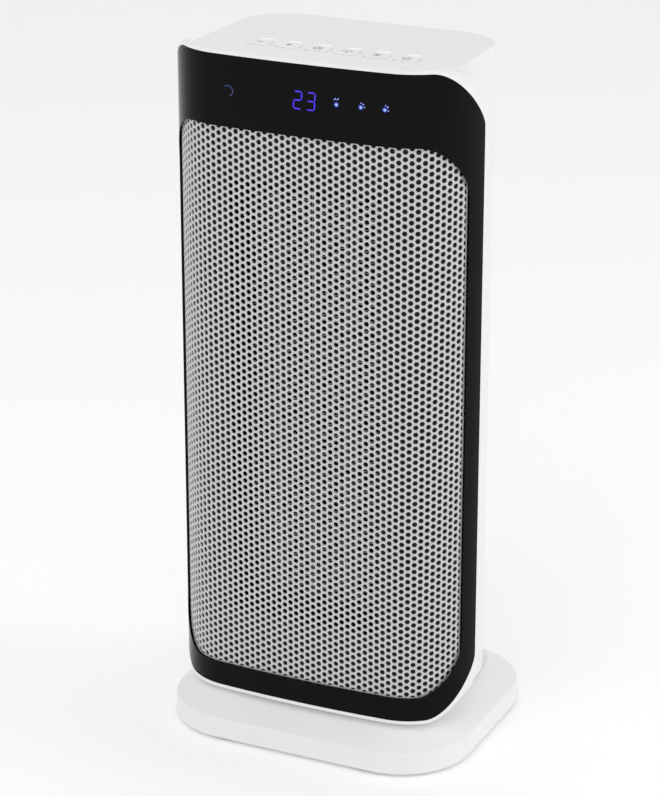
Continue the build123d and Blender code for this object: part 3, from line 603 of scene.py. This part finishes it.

# The receiver's window has a fine ring round it. Its right and upper part is drawn as a glowing
# blue arc, a painted highlight where the ring catches the light.
low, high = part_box("receiver_lens")
ring_x = (low.x + high.x) / 2 / MM
ring_highlight_glow = glowing("window_ring_painted_highlight", ("#3A4478", "#4A568E"), 0.6)
RING_RADIUS, RING_STROKE = 2.85, 0.35
# the arc covers only the lit side of the ring: painted highlight
ring_highlight_arc = arc(ring_x, digits_z, RING_RADIUS, RING_STROKE, -70, 130)
window_ring_painted_highlight = prisms("receiver_ring", ring_highlight_arc, on_panel, ring_highlight_glow)
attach(window_ring_painted_highlight, "tower")

# Infrared window: polycarbonate that is almost black, polished, with a violet depth.
smoked_window = moulded("smoked_polycarbonate", "#040306", "#060509", (0.05, 0.09), 1.5, 0.002,
                        0.1)
cover_with(smoked_window, "receiver_lens")
cover_with(black_abs, "digit_display", "infrared_receiver")


# ---------------------------------------------------------------- keys
# Six rounded keys stand in openings in the lid. Each has a printed sign, and behind each a strip
# in a slot glows as a painted highlight, the bright streak behind the key.
cover_with(white_abs, "key_power", "key_timer", "key_mode", "key_swing", "key_plus", "key_minus")

# Opal diffuser: milky polycarbonate that glows whiter than the lid round it. On the indicator
# lamps the glow is lamp light; on the strips behind the keys it is a painted highlight.
opal = glowing("opal_diffuser_and_painted_highlight", ("#F4F6FA", "#FFFFFF"), 0.25)
# key_lights glow as painted highlights behind the keys; indicator_lamps glow as lamps
cover_with(opal, "key_lights", "indicator_lamps")

# Pad-printed ink: dark grey, thin and matt, with slightly uneven cover.
ink = moulded("pad_printed_ink", "#4C4C50", "#5C5C60", (0.5, 0.65), 0.3, 0.002, 0.3)
KEY_SIGNS = {
    "key_minus": [bar(-2.0, 0, 2.0, 0, 0.6)],
    "key_plus": [bar(-2.0, 0, 2.0, 0, 0.6), bar(0, 0.3, 0, 2.0, 0.6), bar(0, -2.0, 0, -0.3, 0.6)],
    "key_timer": arc(0, 0, 2.3, 0.5) + [bar(0, 0.1, 0, 1.6, 0.5), bar(0.1, -0.1, 1.2, -0.7, 0.5)],
    "key_swing": arc(0, -1.8, 3.2, 0.5, 40, 140, 12)
        + [bar(-3.2, 0.9, -2.1, -0.6, 0.5), bar(3.2, 0.9, 2.1, -0.6, 0.5), spot(0, -1.6, 0.7)],
    "key_mode": [spot(0, 0, 1.0)] + [
        bar(1.5 * cos(a * pi / 4), 1.5 * sin(a * pi / 4),
            2.5 * cos(a * pi / 4), 2.5 * sin(a * pi / 4), 0.45) for a in range(8)],
    "key_power": arc(0, -0.2, 2.1, 0.5, 125, 415, 20) + [bar(0, 0.4, 0, 2.5, 0.55)],
}
INK_PROUD = 0.04 * MM
for node, shapes in KEY_SIGNS.items():
    low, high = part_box(node)
    key_middle = ((low.x + high.x) / 2, (low.y + high.y) / 2, high.z)

    def on_key(u, v, outer, middle=key_middle):
        lift = INK_PROUD if outer else -SUNK
        return (middle[0] + u * MM, middle[1] + v * MM, middle[2] + lift)

    printed = prisms(node + "_sign", shapes, on_key, ink)
    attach(printed, node)


# ---------------------------------------------------------------- back of the tower
# A slotted cover slides out backwards with the dust filter on it. Above it is a moulded grip,
# and below it the mains rocker in its bezel.
cover_with(white_abs, "filter_cover", "handle_cup")
gloss_switch = moulded("rocker_nylon", "#0E0E0F", "#151516", (0.2, 0.3), 1.0, 0.006, 0.45)
cover_with(gloss_switch, "switch_case", "power_rocker")

# Filter net: black nylon, threads 0.35 mm thick on a 2 mm mesh, welded to a moulded frame.
net_nylon = moulded("woven_nylon_net", "#1B1B1D", "#28282B", (0.4, 0.55), 0.3, 0.01, 0.4)


def thread_row_tree():
    """A row of like bars: how many, how far apart, how big, and where they are centred."""
    tree = bpy.data.node_groups.new("thread_row", "GeometryNodeTree")
    tree.interface.new_socket("Geometry", in_out="OUTPUT", socket_type="NodeSocketGeometry")
    for name, kind in (("Count", "Int"), ("Start", "Vector"), ("Step", "Vector"),
                       ("Size", "Vector"), ("Material", "Material")):
        tree.interface.new_socket(name, in_out="INPUT", socket_type=f"NodeSocket{kind}")
    given = add(tree, "NodeGroupInput").outputs
    row = add(tree, "GeometryNodeMeshLine", inputs={
        "Count": given["Count"], "Start Location": given["Start"], "Offset": given["Step"]})
    thread = add(tree, "GeometryNodeMeshCube", inputs={"Size": given["Size"]})
    laid = add(tree, "GeometryNodeInstanceOnPoints", inputs={
        "Points": row.outputs["Mesh"], "Instance": thread.outputs["Mesh"]})
    real = add(tree, "GeometryNodeRealizeInstances", inputs={"Geometry": laid.outputs[0]})
    dressed = add(tree, "GeometryNodeSetMaterial", inputs={
        "Geometry": real.outputs[0], "Material": given["Material"]})
    add(tree, "NodeGroupOutput", inputs={"Geometry": dressed.outputs[0]})
    return tree


low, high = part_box("dust_filter")
size, centre = high - low, (low + high) / 2
mesh_pitch, thread = 2.0 * MM, 0.35 * MM
rows = thread_row_tree()
across, along = round(size.x / mesh_pitch) - 1, round(size.z / mesh_pitch) - 1
upright = grown("upright_threads", rows, {
    "Count": across, "Start": (low.x + mesh_pitch, centre.y, centre.z),
    "Step": (mesh_pitch, 0, 0), "Size": (thread, thread, size.z - 2 * MM), "Material": net_nylon})
level = grown("level_threads", rows, {
    "Count": along, "Start": (centre.x, centre.y + 0.3 * thread, low.z + mesh_pitch),
    "Step": (0, 0, mesh_pitch), "Size": (size.x - 2 * MM, thread, thread), "Material": net_nylon})
net = bmesh.new()
net.from_mesh(upright)
net.from_mesh(level)
FRAME_WIDTH = 3 * MM
outer_frame = [Vector((x, 0, z)) for x, z in ((low.x, low.z), (high.x, low.z), (high.x, high.z),
                                              (low.x, high.z))]
inner_frame = [p + Vector((FRAME_WIDTH if p.x < 0 else -FRAME_WIDTH, 0,
                           FRAME_WIDTH if p.z < centre.z else -FRAME_WIDTH)) for p in outer_frame]
loops = []
for loop, y in ((outer_frame, low.y), (inner_frame, low.y), (inner_frame, high.y),
                (outer_frame, high.y)):
    loops.append([net.verts.new((p.x, y, p.z)) for p in loop])
for one, two in zip(loops, loops[1:] + loops[:1]):
    for i in range(4):
        net.faces.new((one[i], one[(i + 1) % 4], two[(i + 1) % 4], two[i]))
bmesh.ops.recalc_face_normals(net, faces=net.faces)
net_mesh = bpy.data.meshes.new("filter_net")
net.to_mesh(net_mesh)
net.free()
filter_net = new_piece("filter_net", net_mesh, net_nylon)
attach(filter_net, "filter")
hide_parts("dust_filter")

# The rocker carries the two usual signs, moulded and filled with white.
white_fill = moulded("white_paint_fill", "#DADADA", "#E6E6E6", (0.4, 0.5), 0.5, 0.002, 0.4)
rocker_x, rocker_y, rocker_z = 40.0, 41.3, 62.0
rocker_tilt = radians(8.0)
# how far the face lies from the pin, and how much it rises for each mm from its middle
FACE_OUT, FACE_DISH = 4.2, 0.1


def on_rocker(u, v, outer):
    """A place on the rocker's face, u across and v up in mm, at the face's own slope."""
    out = FACE_OUT + FACE_DISH * abs(v) + (PROUD if outer else -SUNK) / MM
    return ((rocker_x - u) * MM,
            (rocker_y + out * cos(rocker_tilt) + v * sin(rocker_tilt)) * MM,
            (rocker_z - out * sin(rocker_tilt) + v * cos(rocker_tilt)) * MM)


signs = prisms("rocker_signs", arc(0, -2.4, 1.0, 0.35) + [bar(0, 1.4, 0, 3.4, 0.4)],
               on_rocker, white_fill)
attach(signs, "rocker")


# ---------------------------------------------------------------- heating element
# Ceramic stones between aluminium electrodes warm four banks of folded fins. A black heat-proof
# frame holds them, with a duct forward to the grille and a cut-out and a fuse above.
# Glass-filled nylon: black and dull, with a faint fibre grain in its surface.
filled_nylon = moulded("glass_filled_nylon", "#0B0B0C", "#131314", (0.55, 0.7), 0.6, 0.04, 0.25)
cover_with(filled_nylon, "outlet_duct", "heater_frame")

# Rolled aluminium foil: bright, grained along the roll, slightly cloudy from the oven.
foil, tree, surface = finished("rolled_aluminium_foil")
place = coordinates(tree)
stretched = add(tree, "ShaderNodeMapping", inputs={
    "Vector": place, "Scale": (1 / 6, 1 / 0.4, 1 / 0.4)})
roll_grain = add(tree, "ShaderNodeTexNoise", inputs={
    "Vector": stretched.outputs[0], "Scale": 1.0})
tone = add(tree, "ShaderNodeMix", {"data_type": "RGBA"},
           {"Factor": roll_grain.outputs["Fac"], 6: linear("#9C9DA0"), 7: linear("#B9BABD")})
tree.links.new(tone.outputs[2], surface.inputs["Base Color"])
uneven = add(tree, "ShaderNodeMapRange", inputs={
    "Value": roll_grain.outputs["Fac"], "To Min": 0.32, "To Max": 0.5})
tree.links.new(uneven.outputs["Result"], surface.inputs["Roughness"])
surface.inputs["Metallic"].default_value = 1.0
cover_with(foil, "heater_fins", "heater_electrodes")

# Barium titanate ceramic: fired dark grey, dry and slightly porous.
ceramic = moulded("barium_titanate_ceramic", "#37322F", "#48423E", (0.7, 0.85), 0.5, 0.03, 0.3)
cover_with(ceramic, "ptc_stones")

# Mica board: pale brown flakes pressed in resin, with a pearly gloss.
mica = moulded("mica_board", "#5E5442", "#7A6C54", (0.35, 0.6), 1.5, 0.02, 0.5)
cover_with(mica, "heater_brackets")

# Brass: warm yellow, tumbled bright, with small dark clouds of tarnish.
brass = plated("tumbled_brass", "#A98A4B", "#C6A766", (0.3, 0.45), 0.5)
cover_with(brass, "heater_terminals", "thermal_fuse", "shaft_bearings")
cover_with(tin, "thermal_cutout")


# ---------------------------------------------------------------- blower and boards
# A cross-flow wheel of black nylon hangs between two plates, turned from below by a shaded
# motor. The control board lies under the keys and the display board stands behind the panel.
cover_with(black_abs, "duct_base", "duct_top", "duct_scroll", "duct_tongue", "motor_bracket")
cover_with(filled_nylon, "blower_wheel")
cover_with(zinc, "blower_shaft", "motor_rotor")

# Laminated electrical steel: the edges of 0.5 mm sheets show as fine level lines, a light and
# a dark sheet to each wave. At scale 1 a wave texture repeats every WAVE_REPEAT.
WAVE_REPEAT = 0.31416
laminated, tree, surface = finished("laminated_electrical_steel")
place = coordinates(tree)
sheets = add(tree, "ShaderNodeTexWave", {"wave_type": "BANDS", "bands_direction": "Z"},
             {"Vector": place, "Scale": WAVE_REPEAT / 0.5 / 2, "Distortion": 0.2})
tone = add(tree, "ShaderNodeMix", {"data_type": "RGBA"},
           {"Factor": sheets.outputs["Fac"], 6: linear("#55575A"), 7: linear("#8E9195")})
tree.links.new(tone.outputs[2], surface.inputs["Base Color"])
surface.inputs["Metallic"].default_value = 1.0
surface.inputs["Roughness"].default_value = 0.45
cover_with(laminated, "motor_stator")

# Enamelled copper wire: 0.4 mm turns side by side, red-brown under a clear gloss. Each turn is
# painted lighter on its crown and darker in the groove to the next, as painted highlight and
# painted shade.
winding, tree, surface = finished("enamelled_copper_wire")
place = coordinates(tree)
turn_highlight_and_groove_shade = add(tree, "ShaderNodeTexWave", {"wave_type": "BANDS", "bands_direction": "Z"},
                    {"Vector": place, "Scale": WAVE_REPEAT / 0.4 / 2, "Distortion": 0.6})
tone = add(tree, "ShaderNodeMix", {"data_type": "RGBA"},
           {"Factor": turn_highlight_and_groove_shade.outputs["Fac"], 6: linear("#6B2F17"), 7: linear("#B4623A")})
tree.links.new(tone.outputs[2], surface.inputs["Base Color"])
surface.inputs["Metallic"].default_value = 1.0
surface.inputs["Roughness"].default_value = 0.3
surface.inputs["Coat Weight"].default_value = 0.4
cover_with(winding, "motor_coils")

# Glass-epoxy board under green resist: glossy, with the copper pattern just showing.
resist, tree, surface = finished("glass_epoxy_resist")
place = coordinates(tree)
tracks = add(tree, "ShaderNodeTexBrick", inputs={
    "Vector": place, "Scale": 1 / 6, "Color1": linear("#0F4A2B"), "Color2": linear("#0C3F25"),
    "Mortar": linear("#1D6B40"), "Mortar Size": 0.04})
tree.links.new(tracks.outputs["Color"], surface.inputs["Base Color"])
surface.inputs["Roughness"].default_value = 0.25
cover_with(resist, "control_board", "display_board")
cover_with(gloss_switch, "tact_switches")
